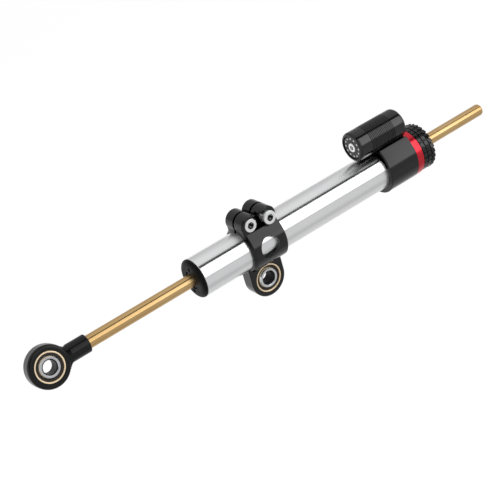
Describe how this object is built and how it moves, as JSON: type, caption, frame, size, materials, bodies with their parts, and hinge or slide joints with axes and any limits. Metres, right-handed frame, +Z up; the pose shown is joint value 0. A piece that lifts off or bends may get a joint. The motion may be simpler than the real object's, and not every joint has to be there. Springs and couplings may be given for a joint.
{
  "type": "motorcycle steering damper",
  "caption": "Through-rod hydraulic steering damper: polished tube, gold rod, spherical-bearing eyes, split clamp, click adjuster knob and piggyback reservoir.",
  "frame": {"origin": "centre of the bearing ball in the clamp's eye, which a bolt fastens to the motorcycle's frame", "axes": "+X along the damper from the rod end towards the adjuster knob, +Y along the bolt of the clamp's eye, +Z up from that eye to the tube and reservoir"},
  "size_m": [0.3506, 0.0312, 0.0683],
  "materials": {
    "polished_aluminium": "polished",
    "black_anodised": "satin black anodised",
    "red_anodised": "glossy red anodised",
    "gold_rod": "polished, gold nitride coated",
    "bronze": "machined",
    "bright_steel": "bright",
    "turned_aluminium": "turned",
    "seal_rubber": "matt",
    "guide_ring": "filled fluoropolymer",
    "bearing_liner": "woven fluoropolymer liner"
  },
  "bodies": {
    "clamp": {"clamp_body": "black_anodised", "clamp_screws": "bright_steel", "frame_race": "bronze", "frame_liner": "bearing_liner"},
    "frame_bearing": {"frame_ball": "bright_steel"},
    "barrel": {"cylinder_tube": "polished_aluminium", "front_gland": "black_anodised", "front_gland_oring": "seal_rubber", "front_wiper": "seal_rubber", "front_rod_bush": "bronze", "front_rod_seal": "seal_rubber", "rear_guide": "turned_aluminium", "rear_guide_oring": "seal_rubber", "rear_rod_bush": "bronze", "rear_head": "black_anodised", "index_ring": "red_anodised", "detent_ball": "bright_steel", "detent_spring": "bright_steel", "reservoir_body": "black_anodised", "reservoir_cap": "black_anodised", "reservoir_cap_oring": "seal_rubber", "oil_transfer_bush": "bright_steel"},
    "fill_valve": {"fill_screw": "bright_steel"},
    "gas_piston": {"floating_piston": "turned_aluminium", "floating_piston_oring": "seal_rubber"},
    "adjuster": {"adjuster_knob": "black_anodised", "knob_grub_screw": "bright_steel", "metering_sleeve": "bright_steel", "sleeve_orings": "seal_rubber", "rear_rod_seal": "seal_rubber"},
    "piston_band": {"piston_ring": "guide_ring"},
    "rod": {"damper_rod": "gold_rod", "piston": "turned_aluminium", "piston_circlips": "bright_steel", "rod_end_body": "black_anodised", "rod_end_race": "bronze", "rod_end_liner": "bearing_liner"},
    "rod_bearing": {"rod_end_ball": "bright_steel"}
  },
  "joints": [
    {"name": "frame_ball_tilt", "type": "hinge", "parent": "clamp", "child": "frame_bearing", "pos_m": [0, 0, 0], "axis": [0, 0, 1], "range_deg": [-12, 12]},
    {"name": "clamp_slide", "type": "slide", "parent": "clamp", "child": "barrel", "axis": [1, 0, 0], "range_m": [-0.069, 0.032]},
    {"name": "rod_stroke", "type": "slide", "parent": "barrel", "child": "piston_band", "axis": [1, 0, 0], "range_m": [-0.025, 0.065]},
    {"name": "rod_spin", "type": "hinge", "parent": "piston_band", "child": "rod", "pos_m": [0, 0, 0.0235], "axis": [1, 0, 0], "continuous": true},
    {"name": "rod_ball_tilt", "type": "hinge", "parent": "rod", "child": "rod_bearing", "pos_m": [-0.1459, 0, 0.0235], "axis": [0, 0.2689, 0.9632], "range_deg": [-12, 12]},
    {"name": "adjuster_turn", "type": "hinge", "parent": "barrel", "child": "adjuster", "pos_m": [0.13, 0, 0.0235], "axis": [1, 0, 0], "range_deg": [-150, 150]},
    {"name": "fill_screw_turn", "type": "hinge", "parent": "barrel", "child": "fill_valve", "pos_m": [0.0841, 0, 0.0465], "axis": [-1, 0, 0], "range_deg": [0, 360]},
    {"name": "gas_piston_travel", "type": "slide", "parent": "barrel", "child": "gas_piston", "axis": [1, 0, 0], "range_m": [-0.006, 0.006], "stiffness_N_per_m": 1500}
  ]
}
